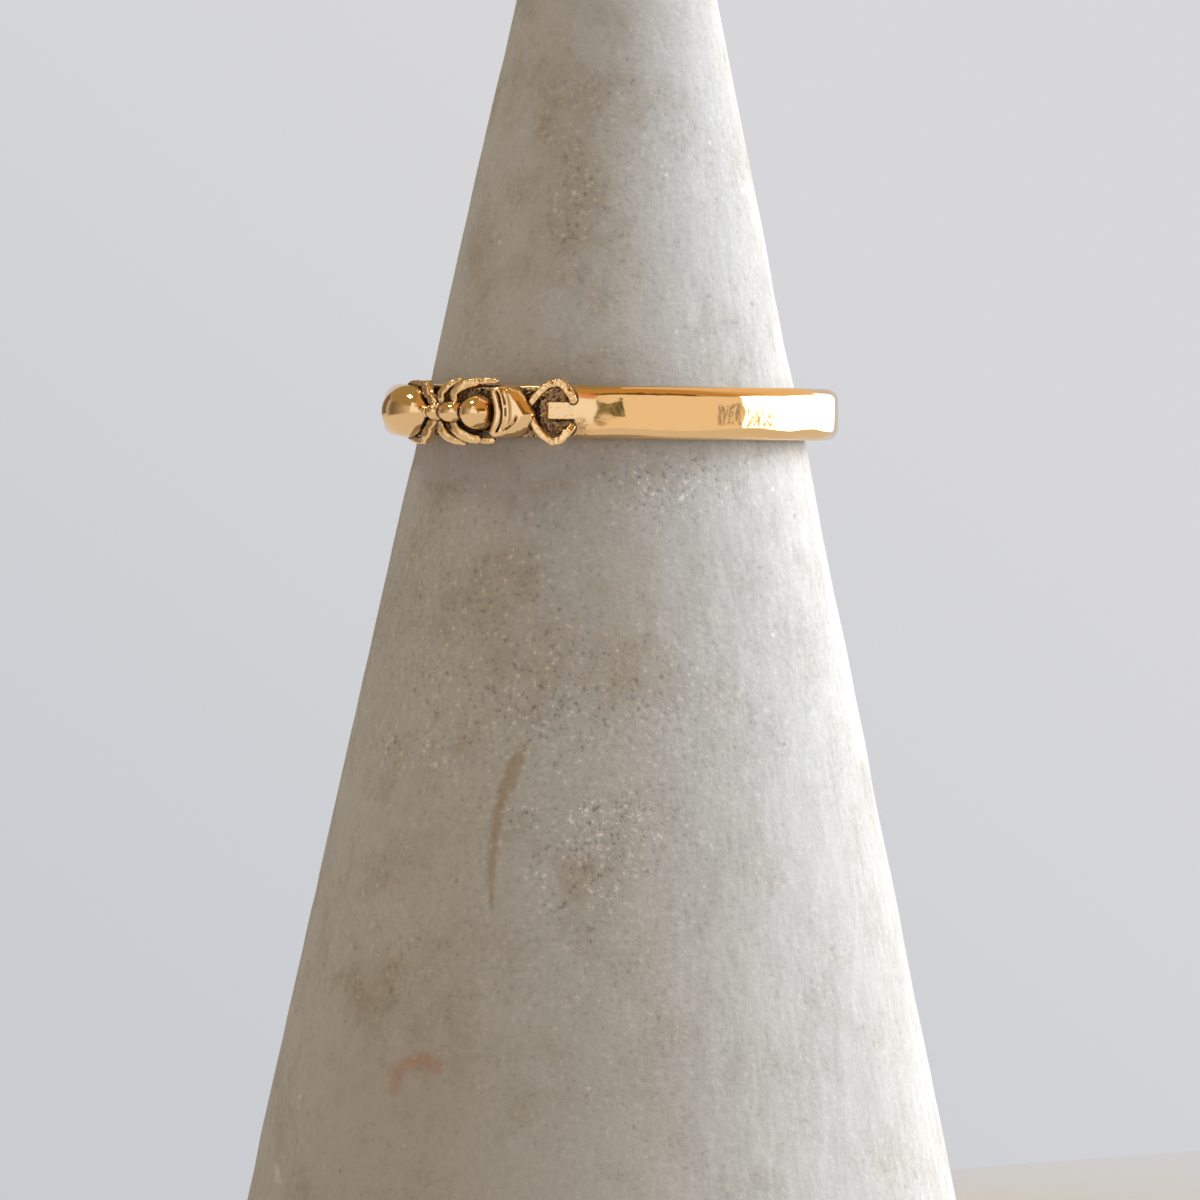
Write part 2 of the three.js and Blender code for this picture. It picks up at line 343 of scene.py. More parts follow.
def ring_field(p):
    """Signed distance, in mm, to the whole ring at points (s, w, h)."""
    out = band_field(p)
    ant = near(p, (ANT_S0, -2, -0.75), (ANT_S1, 2, 2), 0.0)
    if len(ant) == 0:
        return out
    pa = p[ant]
    depth, rough = recess_depth(pa)
    grain = rough * (0.021 * CAST(pa) + 0.009 * CAST_FINE(pa))
    lowered = pa.copy()
    lowered[:, 2] += depth + grain
    outer = pa[:, 2] > -0.7
    base = np.where(outer, band_field(lowered), out[ant])
    q = pa.copy()
    q[:, 1] -= ANT_W

    PAD = 0.45
    relief = np.full(len(q), 1e3)

    def join(idx, d, k):
        if k > 0:
            relief[idx] = smin(relief[idx], d, k)
        else:
            relief[idx] = np.minimum(relief[idx], d)

    for _n, c, r, k in BALLS:
        idx = near(q, np.subtract(c, r), np.add(c, r), PAD)
        if len(idx):
            join(idx, ellipsoid(q[idx], c, r), k)

    # the back, hollowed where the thorax sits in it
    c, r = BACK
    idx = near(q, np.subtract(c, r), np.add(c, r), PAD)
    if len(idx):
        d = ellipsoid(q[idx], c, r)
        t = ellipsoid(q[idx], THORAX[0], np.add(THORAX[1], 0.055))
        join(idx, smax(d, -t, 0.05), 0.02)
    c, r = THORAX
    idx = near(q, np.subtract(c, r), np.add(c, r), PAD)
    if len(idx):
        join(idx, ellipsoid(q[idx], c, r), 0.0)

    # the head: a thick pad with rounded sides, a raised lip along its rear edge
    idx = near(q, (-5.2, -1.2, -0.4), (-3.2, 1.2, 0.8), PAD)
    if len(idx):
        h = q[idx]
        d2 = polygon2(h[:, :2], HEAD_OUTLINE)
        groove = line2(h[:, :2], HEAD_GROOVE_LINE)
        ends = smoothstep(-0.95, -0.80, h[:, 1]) * (1 - smoothstep(0.86, 1.0, h[:, 1]))
        slope = np.clip((h[:, 0] + 3.3) / -1.7, -0.2, 1.15)
        top = 0.02 + 0.20 * slope - 0.05 * (h[:, 1] / 1.1) ** 2
        top = top - 0.13 * np.exp(-((groove / 0.042) ** 2)) * ends
        # the crown of the head is dished behind its brow, with a cut under it
        top = top - 0.062 * np.exp(-((line2(h[:, :2], HEAD_VALLEY_LINE) / 0.125) ** 2))
        top = top - 0.085 * np.exp(-((line2(h[:, :2], HEAD_HOOK_LINE) / 0.050) ** 2))
        # the rear face is steeper than the front one
        blend = smoothstep(-4.75, -4.35, h[:, 0])
        rr = 0.15 + (0.46 - 0.15) * blend
        qx = d2 + rr
        qy = h[:, 2] - (top + 0.46 - rr)
        d = np.minimum(np.maximum(qx, qy), 0) + np.sqrt(
            np.maximum(qx, 0) ** 2 + np.maximum(qy, 0) ** 2
        ) - rr
        join(idx, d, 0.0)

    for name, path in LIMB_PATHS.items():
        lo = path[:, :3].min(axis=0)
        hi = path[:, :3].max(axis=0)
        idx = near(q, lo, hi, PAD + 0.2)
        if len(idx):
            d = strap(q[idx], path) - 0.007 * LIMB_WAVE(q[idx])
            k = 0.02 if "foot" in name or "knee" in name else 0.012
            join(idx, d, k)

    # limbs stop at the bore side of the band
    relief = smax(relief, -(q[:, 2] + 0.42), 0.05)
    out[ant] = smin(base, relief, 0.022)
    return out


HEAD_GROOVE_LINE = catmull(HEAD_GROOVE, 4)
HEAD_VALLEY_LINE = catmull(HEAD_VALLEY, 3)
HEAD_HOOK_LINE = catmull(HEAD_HOOK, 4)


def gradient(p, e=0.006):
    """Field value and gradient at points, by four samples."""
    k = np.array([[1, -1, -1], [-1, -1, 1], [-1, 1, -1], [1, 1, 1]], float)
    g = np.zeros_like(p)
    total = np.zeros(len(p))
    for row in k:
        v = ring_field(p + e * row)
        g += v[:, None] * row
        total += v
    g /= 4 * e
    return total / 4, g


# ---------------------------------------------------------------- the mesher
def surface_net(ss, ws, hs, periodic_len):
    """Quads on the zero surface of ring_field; the first axis is a closed loop."""
    ns, nw, nh = len(ss), len(ws), len(hs)
    vals = np.empty((ns, nw, nh), np.float32)
    ww, hh = np.meshgrid(ws, hs, indexing="ij")
    flat = np.stack([np.zeros(nw * nh), ww.ravel(), hh.ravel()], axis=1)
    step = max(1, 400000 // (nw * nh))
    for i in range(0, ns, step):
        rows = ss[i : i + step]
        p = np.tile(flat, (len(rows), 1))
        p[:, 0] = np.repeat(rows, nw * nh)
        vals[i : i + step] = ring_field(p).reshape(len(rows), nw, nh)
    v = np.concatenate([vals, vals[:1]], axis=0)
    se = np.concatenate([ss, [ss[0] + periodic_len]])
    neg = v < 0
    # cells with both signs
    c = neg[:-1].astype(np.int8) + neg[1:]
    c = c[:, :-1] + c[:, 1:]
    c = c[:, :, :-1] + c[:, :, 1:]
    mixed = (c > 0) & (c < 8)
    index = np.full(mixed.shape, -1, np.int64)
    cells = np.argwhere(mixed)
    index[mixed] = np.arange(len(cells))
    # vertex: mean of the crossings on the cell's twelve edges
    acc = np.zeros((len(cells), 3))
    num = np.zeros(len(cells))
    i, j, k = cells.T
    corners = [(a, b, d) for a in (0, 1) for b in (0, 1) for d in (0, 1)]
    pos = {}
    val = {}
    for a, b, d in corners:
        val[a, b, d] = v[i + a, j + b, k + d].astype(float)
        pos[a, b, d] = np.stack([se[i + a], ws[j + b], hs[k + d]], axis=1)
    for a in corners:
        for b in corners:
            if a < b and sum(x != y for x, y in zip(a, b)) == 1:
                va, vb = val[a], val[b]
                hit = (va < 0) != (vb < 0)
                t = np.where(hit, va / np.where(hit, va - vb, 1.0), 0.0)
                acc += np.where(hit[:, None], pos[a] + t[:, None] * (pos[b] - pos[a]), 0.0)
                num += hit
    pts = acc / num[:, None]
    # quads across each crossed edge
    quads = []
    nc = ns

    def add(cond, cellsets):
        e = np.argwhere(cond)
        if len(e) == 0:
            return
        inside_first = neg[tuple(e.T)]
        ids = [index[(e[:, 0] + o[0]) % nc, e[:, 1] + o[1], e[:, 2] + o[2]] for o in cellsets]
        q = np.stack(ids, axis=1)
        q[~inside_first] = q[~inside_first][:, ::-1]
        quads.append(q)

    # edges along s
    cond = neg[:-1, 1:-1, 1:-1] != neg[1:, 1:-1, 1:-1]
    full = np.zeros(neg.shape, bool)
    full[:-1, 1:-1, 1:-1] = cond
    add(full, [(0, -1, -1), (0, 0, -1), (0, 0, 0), (0, -1, 0)])
    # edges along w
    full = np.zeros(neg.shape, bool)
    full[:-1, :-1, 1:-1] = neg[:-1, :-1, 1:-1] != neg[:-1, 1:, 1:-1]
    add(full, [(-1, 0, -1), (-1, 0, 0), (0, 0, 0), (0, 0, -1)])
    # edges along h
    full = np.zeros(neg.shape, bool)
    full[:-1, 1:-1, :-1] = neg[:-1, 1:-1, :-1] != neg[:-1, 1:-1, 1:]
    add(full, [(-1, -1, 0), (0, -1, 0), (0, 0, 0), (-1, 0, 0)])
    return pts, np.concatenate(quads)


def ring_coordinates():
    """Stations along the loop: fine through the ant, wider on the plain band."""
    fine = 0.0505
    wide = 0.22
    stations = [ANT_S0 - 0.3]
    end = ANT_S0 - 0.3 + LOOP
    s = stations[0]
    while True:
        if s < ANT_S1 + 0.25:
            step = fine
        else:
            away = min(s - (ANT_S1 + 0.25), end - s)
            step = min(wide, fine + 0.09 * max(away, 0.0))
        s += max(step, fine)
        if s > end - 0.6 * fine:
            break
        stations.append(s)
    cell = fine
    ws = np.arange(-1.62, 1.62 + cell, cell)
    hs = np.arange(-1.4 - 2.3 * cell, 1.30, cell)
    return np.array(stations), ws, hs


def to_space(p):
    a = p[:, 0] / OUT_R
    r = OUT_R + p[:, 2]
    return np.stack([r * np.sin(a), -r * np.cos(a), MID_Z + p[:, 1]], axis=1)


def mesh_from(name, verts, quads, normals=None):
    mesh = bpy.data.meshes.new(name)
    mesh.vertices.add(len(verts))
    mesh.vertices.foreach_set("co", np.asarray(verts, np.float32).ravel())
    n = len(quads)
    mesh.loops.add(n * 4)
    mesh.loops.foreach_set("vertex_index", np.asarray(quads, np.int32).ravel())
    mesh.polygons.add(n)
    mesh.polygons.foreach_set("loop_start", np.arange(0, n * 4, 4, dtype=np.int32))
    mesh.update(calc_edges=True)
    mesh.validate()
    mesh.polygons.foreach_set("use_smooth", np.ones(len(mesh.polygons), bool))
    if normals is not None:
        mesh.normals_split_custom_set_from_vertices(normals.tolist())
    obj = bpy.data.objects.new(name, mesh)
    bpy.context.scene.collection.objects.link(obj)
    return obj


def point_values(obj, name, values):
    a = obj.data.attributes.new(name, "FLOAT", "POINT")
    a.data.foreach_set("value", np.asarray(values, np.float32))


def build_ring():
    ss, ws, hs = ring_coordinates()
    pts, quads = surface_net(ss, ws, hs, LOOP)
    start = pts.copy()
    for _ in range(5):
        f, g = gradient(pts)
        g2 = np.maximum((g * g).sum(1), 0.05)
        move = -(f / g2)[:, None] * g
        n = np.linalg.norm(move, axis=1)
        move *= np.minimum(1.0, 0.02 / np.maximum(n, 1e-9))[:, None]
        pts += 0.9 * move
    # keep every point within its own cell's reach
    off = np.clip(pts - start, -0.05, 0.05)
    pts = start + off
    _, g = gradient(pts)
    n = g / np.maximum(np.linalg.norm(g, axis=1), 1e-9)[:, None]
    # how shut-in each point is: 0 on open faces, 1 in the deepest crevice
    shut = np.zeros(len(pts))
    total = 0.0
    for d, weight in ((0.07, 1.0), (0.15, 1.0), (0.28, 0.8), (0.45, 0.5)):
        shut += weight * np.clip((d - ring_field(pts + n * d)) / d, 0, 1)
        total += weight
    shut /= total
    depth, rough = recess_depth(pts)
    face = smoothstep(-0.5, -0.25, pts[:, 2])
    rough = rough * face
    # the relief stands clear of the rough floor
    lift = smoothstep(0.00, 0.10, pts[:, 2] + depth)
    rough = rough * (1 - lift)
    # normals in space
    a = pts[:, 0] / OUT_R
    out = np.stack([np.sin(a), -np.cos(a), np.zeros_like(a)], axis=1)
    along = np.stack([np.cos(a), np.sin(a), np.zeros_like(a)], axis=1)
    up = np.array([0.0, 0.0, 1.0])
    stretch = (OUT_R + pts[:, 2]) / OUT_R
    world = (
        along * (n[:, 0] / stretch)[:, None] + up * n[:, 1][:, None] + out * n[:, 2][:, None]
    )
    world /= np.linalg.norm(world, axis=1)[:, None]
    obj = mesh_from("ring_cast", to_space(pts) * MM, quads, world)
    point_values(obj, "shut", shut)
    point_values(obj, "cast", rough)
    return obj


ring = build_ring()
print("ring faces", len(ring.data.polygons))


# ------------------------------------------------------------------- materials
class Nodes:
    """Small helper that writes a material's node tree."""

    def __init__(self, name):
        self.mat = bpy.data.materials.new(name)
        self.mat.use_nodes = True
        self.tree = self.mat.node_tree
        self.tree.nodes.clear()
        self.out = self.new("ShaderNodeOutputMaterial")
        self.bsdf = self.new("ShaderNodeBsdfPrincipled")
        self.link(self.bsdf.outputs["BSDF"], self.out.inputs["Surface"])

    def new(self, kind, **props):
        n = self.tree.nodes.new(kind)
        for k, v in props.items():
            setattr(n, k, v)
        return n

    def link(self, a, b):
        self.tree.links.new(a, b)

    def put(self, socket, value):
        if hasattr(value, "is_output"):
            self.link(value, socket)
        else:
            socket.default_value = value

    def coord(self):
        return self.new("ShaderNodeTexCoord").outputs["Object"]

    def attr(self, name):
        return self.new("ShaderNodeAttribute", attribute_name=name).outputs["Fac"]

    def math(self, op, a, b=0.0, c=0.0, clamp=False):
        n = self.new("ShaderNodeMath", operation=op, use_clamp=clamp)
        self.put(n.inputs[0], a)
        self.put(n.inputs[1], b)
        if len(n.inputs) > 2:
            self.put(n.inputs[2], c)
        return n.outputs[0]

    def scaled(self, vector, scale):
        n = self.new("ShaderNodeVectorMath", operation="MULTIPLY")
        self.put(n.inputs[0], vector)
        n.inputs[1].default_value = scale if hasattr(scale, "__len__") else (scale,) * 3
        return n.outputs[0]

    def noise(self, vector, scale, detail=3.0, rough=0.55, distort=0.0):
        n = self.new("ShaderNodeTexNoise")
        self.put(n.inputs["Vector"], vector)
        n.inputs["Scale"].default_value = scale
        n.inputs["Detail"].default_value = detail
        n.inputs["Roughness"].default_value = rough
        n.inputs["Distortion"].default_value = distort
        return n.outputs["Fac"]

    def voronoi(self, vector, scale, feature="F1", randomness=1.0):
        n = self.new("ShaderNodeTexVoronoi", feature=feature)
        self.put(n.inputs["Vector"], vector)
        n.inputs["Scale"].default_value = scale
        n.inputs["Randomness"].default_value = randomness
        return n

    def ramp(self, fac, low, high, a=0.0, b=1.0, kind="SMOOTHSTEP"):
        n = self.new("ShaderNodeMapRange", interpolation_type=kind)
        self.put(n.inputs["Value"], fac)
        n.inputs["From Min"].default_value = low
        n.inputs["From Max"].default_value = high
        n.inputs["To Min"].default_value = a
        n.inputs["To Max"].default_value = b
        return n.outputs["Result"]

    def mix(self, fac, a, b, blend="MIX"):
        n = self.new("ShaderNodeMix", data_type="RGBA", blend_type=blend)
        self.put(n.inputs["Factor"], fac)
        self.put(n.inputs["A"], a)
        self.put(n.inputs["B"], b)
        return n.outputs["Result"]

    def bump(self, height, strength, distance, normal=None):
        n = self.new("ShaderNodeBump")
        self.put(n.inputs["Height"], height)
        n.inputs["Strength"].default_value = strength
        n.inputs["Distance"].default_value = distance
        if normal is not None:
            self.link(normal, n.inputs["Normal"])
        return n.outputs["Normal"]


def rgb(r, g, b):
    """Display colour, 0 to 255, to the linear colour that shaders use."""
    def lin(c):
        c /= 255.0
        return c / 12.92 if c <= 0.04045 else ((c + 0.055) / 1.055) ** 2.4
    return (lin(r), lin(g), lin(b), 1.0)


def gold_material():
    m = Nodes("polished_bronze")
    p = m.coord()
    shut = m.attr("shut")
    cast = m.attr("cast")
    mottled = m.noise(p, 900, 4, 0.6)
    patchy = m.noise(p, 260, 3, 0.55)
    # patina: in crevices, and over the rough cast floor
    deep = m.math("ADD", shut, m.math("MULTIPLY", m.math("SUBTRACT", mottled, 0.5), 0.30))
    crevice = m.ramp(deep, 0.22, 0.46)
    floor = m.math("MULTIPLY", cast, m.ramp(mottled, 0.30, 0.60, 0.62, 1.0))
    dirt = m.math("MAXIMUM", crevice, m.math("MULTIPLY", floor, 0.92), clamp=True)
    polished = m.mix(patchy, (0.93, 0.60, 0.285, 1), (0.95, 0.635, 0.325, 1))
    patina = m.mix(m.ramp(mottled, 0.33, 0.64), (0.034, 0.018, 0.008, 1), (0.37, 0.255, 0.155, 1))
    m.put(m.bsdf.inputs["Base Color"], m.mix(dirt, polished, patina))
    m.bsdf.inputs["Metallic"].default_value = 1.0
    smear = m.ramp(m.noise(p, 420, 4, 0.6), 0.35, 0.75, 0.030, 0.085)
    m.put(m.bsdf.inputs["Roughness"], m.math("ADD", smear, m.math("MULTIPLY", dirt, 0.45), clamp=True))
    fine = m.noise(m.scaled(p, (1.0, 1.0, 1.6)), 1500, 3, 0.6)
    n1 = m.bump(fine, 0.10, 0.00002)
    grain = m.noise(p, 5200, 3, 0.65)
    n2 = m.bump(m.math("MULTIPLY", grain, m.math("ADD", cast, m.math("MULTIPLY", crevice, 0.5))), 0.7, 0.00004, n1)
    m.put(m.bsdf.inputs["Normal"], n2)
    return m.mat


# Marks on the cone's front, in mm: rows of x, z and half width.
STREAK = [
    (-3.40, 36.64, 0.09), (-3.89, 35.67, 0.28), (-4.34, 34.57, 0.27), (-4.58, 33.57, 0.20),
    (-4.73, 32.65, 0.19), (-4.84, 31.28, 0.15), (-4.81, 29.80, 0.03),
]
SMUDGE = [
    (-8.80, 21.95, 0.22), (-8.70, 22.72, 0.30), (-8.23, 23.09, 0.30), (-7.51, 23.31, 0.36),
    (-7.07, 23.10, 0.36),
]
CHIP = [(-13.90, 17.45, 0.18), (-13.98, 17.90, 0.14)]
# Brown mottling and pitted patches: x, z, half sizes in x and z, strength.
MOTTLES = [
    (-8.42, 36.1, 1.7, 1.1, 0.72), (-9.74, 26.2, 1.0, 1.3, 0.50), (-1.10, 31.3, 2.6, 1.2, 0.70),
    (-1.73, 24.8, 1.4, 1.0, 0.55), (0.56, 39.7, 2.2, 1.5, 0.62), (-2.10, 40.5, 3.2, 3.2, 0.42),
    (-1.40, 61.2, 1.5, 6.5, 0.34), (-2.60, 61.6, 1.8, 5.2, 0.36), (-3.80, 56.8, 3.2, 1.2, 0.40),
    (-5.50, 42.5, 3.4, 3.6, 0.36), (3.97, 25.7, 2.4, 1.2, 0.32), (1.30, 42.6, 1.6, 2.2, 0.26),
    (-3.00, 47.9, 5.5, 1.1, 0.42), (2.60, 48.3, 2.2, 0.6, 0.45), (-5.9, 22.0, 5.5, 2.4, 0.20),
    (-1.8, 62.0, 3.2, 8.0, 0.26), (-9.2, 31.0, 2.2, 6.0, 0.30), (-10.5, 22.0, 2.0, 4.0, 0.22), (-0.6, 50.5, 3.2, 1.6, 0.22),
]
PITTED = [
    (-0.30, 33.2, 3.0, 1.0, 1.00), (-5.00, 42.0, 5.0, 6.0, 0.50), (2.20, 47.6, 2.8, 1.3, 0.90),
    (-8.40, 36.2, 1.6, 1.2, 0.80), (-1.00, 31.0, 2.6, 1.4, 0.75), (-1.00, 38.0, 5.5, 3.5, 0.50),
    (-1.5, 60.0, 3.5, 6.0, 0.30), (0.0, 26.0, 6.0, 4.0, 0.22), (-9.5, 28.0, 2.0, 3.0, 0.30),
]


def patches(points, table, seed):
    """Sum of soft spots at the places in the table, on the cone's front."""
    warp = Waves(seed, 1.7, 24)
    warp2 = Waves(seed + 1, 1.7, 24)
    x = points[:, 0] + 0.45 * warp(points)
    z = points[:, 2] + 0.45 * warp2(points)
    total = np.zeros(len(points))
    for cx, cz, rx, rz, k in table:
        total += k * np.exp(-(((x - cx) / rx) ** 2) - ((z - cz) / rz) ** 2)
    front = smoothstep(0.5, -2.0, points[:, 1])
    # the far side has marks of the same kind
    far = Waves(seed + 2, 6.5, 24)(points)
    return total * front + (1 - front) * 0.75 * smoothstep(0.7, 2.0, far)


def stroke(m, x, z, rows, wobble, soft):
    """Mask of a painted line through the rows, in nodes."""
    near_d = None
    for (ax, az, aw), (bx, bz, bw) in zip(rows[:-1], rows[1:]):
        ex, ez = bx - ax, bz - az
        ll = ex * ex + ez * ez
        dx = m.math("SUBTRACT", x, ax)
        dz = m.math("SUBTRACT", z, az)
        t = m.math("MULTIPLY_ADD", dx, ex / ll, m.math("MULTIPLY", dz, ez / ll), clamp=True)
        qx = m.math("MULTIPLY_ADD", t, -ex, dx)
        qz = m.math("MULTIPLY_ADD", t, -ez, dz)
        d = m.math("SQRT", m.math("MULTIPLY_ADD", qx, qx, m.math("MULTIPLY", qz, qz)))
        d = m.math("SUBTRACT", d, m.math("MULTIPLY_ADD", t, bw - aw, aw))
        near_d = d if near_d is None else m.math("MINIMUM", near_d, d)
    return m.ramp(m.math("ADD", near_d, wobble), -soft, soft, 1.0, 0.0)


def cement_material():
    m = Nodes("cast_cement")
    p = m.coord()
    stain_and_shade = m.attr("stain_and_shade")
    pitted = m.attr("pitted")
    xyz = m.new("ShaderNodeSeparateXYZ")
    m.link(p, xyz.inputs[0])
    x = m.math("MULTIPLY", xyz.outputs[0], 1000.0)
    z = m.math("MULTIPLY", xyz.outputs[2], 1000.0)
    front = m.ramp(xyz.outputs[1], -0.0035, -0.0015, 1.0, 0.0)

    broad = m.noise(p, 60, 3, 0.55)
    cloud = m.noise(p, 300, 5, 0.72)
    crumb = m.noise(p, 3700, 3, 0.64)
    drawn = m.noise(m.scaled(p, (1.0, 1.0, 0.075)), 2100, 3, 0.60)
    drift = m.math("SUBTRACT", cloud, 0.5)
    grain = m.math("SUBTRACT", crumb, 0.5)

    colour = m.mix(m.ramp(broad, 0.32, 0.68), CEMENT_A, CEMENT_B)
    colour = m.mix(m.math("MULTIPLY", m.ramp(cloud, 0.45, 0.68), 0.6), colour, CEMENT_C)
    # brown mottling with crumbly borders, plus painted shade: more brown on the front's left side
    field = m.math("MULTIPLY_ADD", drift, 2.4, m.math("MULTIPLY_ADD", grain, 1.7, stain_and_shade))
    brown = m.math("MULTIPLY", m.ramp(field, 0.12, 1.02), 0.70)
    colour = m.mix(brown, colour, (0.865, 0.787, 0.680, 1), "MULTIPLY")
    # painted light: the front's right side is tinted brighter and cooler
    colour = m.mix(m.attr("painted_right_light"), colour, (1.010, 1.035, 1.080, 1), "MULTIPLY")
    # painted shade: the front's left side is tinted warmer and darker
    colour = m.mix(m.attr("painted_left_shade"), colour, (0.950, 0.912, 0.868, 1), "MULTIPLY")
    # grain over everything, coarser where the surface is pitted
    zone = m.math("MULTIPLY_ADD", drift, 1.6, m.math("MULTIPLY_ADD", pitted, 0.95, 0.20), clamp=True)
    g = m.math("MULTIPLY_ADD", grain, m.math("MULTIPLY_ADD", zone, 0.75, 0.22), 1.0)
    dark = m.math("MULTIPLY", m.ramp(crumb, 0.335, 0.405, 1.0, 0.0), zone)
    pale = m.math("MULTIPLY", m.ramp(crumb, 0.605, 0.675), zone)
    right = m.ramp(x, 0.0, 6.0, 0.15, 1.0)
    scored = m.math("MULTIPLY", m.math("SUBTRACT", drawn, 0.5), right)
    g = m.math("MULTIPLY", g, m.math("MULTIPLY_ADD", scored, 0.42, 1.0))

    def specks(scale, shift, size, base, more):
        """Single crumbs and pin holes, more of them where the surface is pitted."""
        q = m.new("ShaderNodeVectorMath", operation="ADD")
        m.put(q.inputs[0], p)
        q.inputs[1].default_value = (shift, shift * 1.7, shift * 0.6)
        v = m.voronoi(q.outputs[0], scale)
        c = m.new("ShaderNodeSeparateColor")
        m.link(v.outputs["Color"], c.inputs[0])
        limit = m.math("SUBTRACT", 1.0 - base, m.math("MULTIPLY", pitted, more))
        chosen = m.math("GREATER_THAN", c.outputs[0], limit)
        radius = m.math("MULTIPLY_ADD", c.outputs[1], size * 0.8, size * 0.2)
        d = m.math("DIVIDE", m.math("MULTIPLY_ADD", grain, 0.55, v.outputs["Distance"]), radius)
        return m.math("MULTIPLY", m.ramp(d, 0.35, 1.1, 1.0, 0.0), chosen), c.outputs[2]

    spot, kind = specks(2100, 0.013, 0.34, 0.035, 0.22)
    hole = m.math("MULTIPLY", spot, m.math("LESS_THAN", kind, 0.45))
    fleck = m.math("SUBTRACT", spot, hole)
    g = m.math("MULTIPLY", g, m.math("MULTIPLY_ADD", m.math("MAXIMUM", hole, dark), -0.28, 1.0))
    g = m.math("MULTIPLY", g, m.math("MULTIPLY_ADD", m.math("MAXIMUM", fleck, pale), 0.40, 1.0))

    edge = m.math("MULTIPLY_ADD", drift, 0.55, m.math("MULTIPLY", grain, 0.55))
    streak = m.math("MULTIPLY", stroke(m, x, z, STREAK, edge, 0.19), front)
    colour = m.mix(m.math("MULTIPLY", streak, m.ramp(crumb, 0.3, 0.6, 0.7, 1.0)), colour, (0.80, 0.675, 0.520, 1), "MULTIPLY")
    smudge = m.math("MULTIPLY", stroke(m, x, z, SMUDGE, edge, 0.17), front)
    colour = m.mix(m.math("MULTIPLY", smudge, m.ramp(crumb, 0.34, 0.58, 0.45, 1.0)), colour, (1.01, 0.765, 0.69, 1), "MULTIPLY")
    chip = m.math("MULTIPLY", stroke(m, x, z, CHIP, edge, 0.07), front)
    g = m.math("MULTIPLY", g, m.math("MULTIPLY_ADD", chip, 0.25, 1.0))

    tone = m.new("ShaderNodeCombineXYZ")
    for i in range(3):
        m.link(g, tone.inputs[i])
    m.put(m.bsdf.inputs["Base Color"], m.mix(1.0, colour, tone.outputs[0], "MULTIPLY"))
    m.put(m.bsdf.inputs["Roughness"], m.ramp(cloud, 0.3, 0.7, 0.66, 0.84))
    m.bsdf.inputs["Specular IOR Level"].default_value = 0.17
    height = m.math("MULTIPLY_ADD", grain, m.math("MULTIPLY_ADD", pitted, 1.3, 0.6), m.math("MULTIPLY", drawn, 0.45))
    m.put(m.bsdf.inputs["Normal"], m.bump(height, 0.46, 0.00010))
    return m.mat


CEMENT_A = (0.470, 0.446, 0.412, 1)
CEMENT_B = (0.515, 0.494, 0.463, 1)
CEMENT_C = (0.425, 0.398, 0.360, 1)

ring.data.materials.append(gold_material())
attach(ring, "root")
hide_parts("ring")

cement = cement_material()


